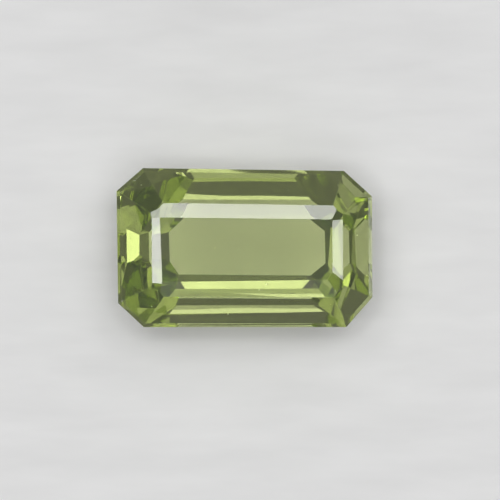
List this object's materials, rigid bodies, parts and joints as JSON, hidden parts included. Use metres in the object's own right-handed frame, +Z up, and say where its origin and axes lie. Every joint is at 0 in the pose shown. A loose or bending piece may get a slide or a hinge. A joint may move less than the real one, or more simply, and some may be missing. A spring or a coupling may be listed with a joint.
{
  "type": "cut gemstone",
  "caption": "Loose green sapphire in an octagonal step cut: flat table, stepped crown, thin girdle and a stepped pavilion ending in a flat culet.",
  "frame": {"origin": "on the resting plane, under the middle of the girdle outline", "axes": "+Z up through the table, +X along the long side, +Y across the stone"},
  "size_m": [0.006, 0.0038, 0.0029],
  "materials": {
    "sapphire": "polished facets with a finely frosted girdle"
  },
  "bodies": {
    "root": {"sapphire": "sapphire"}
  },
  "joints": []
}
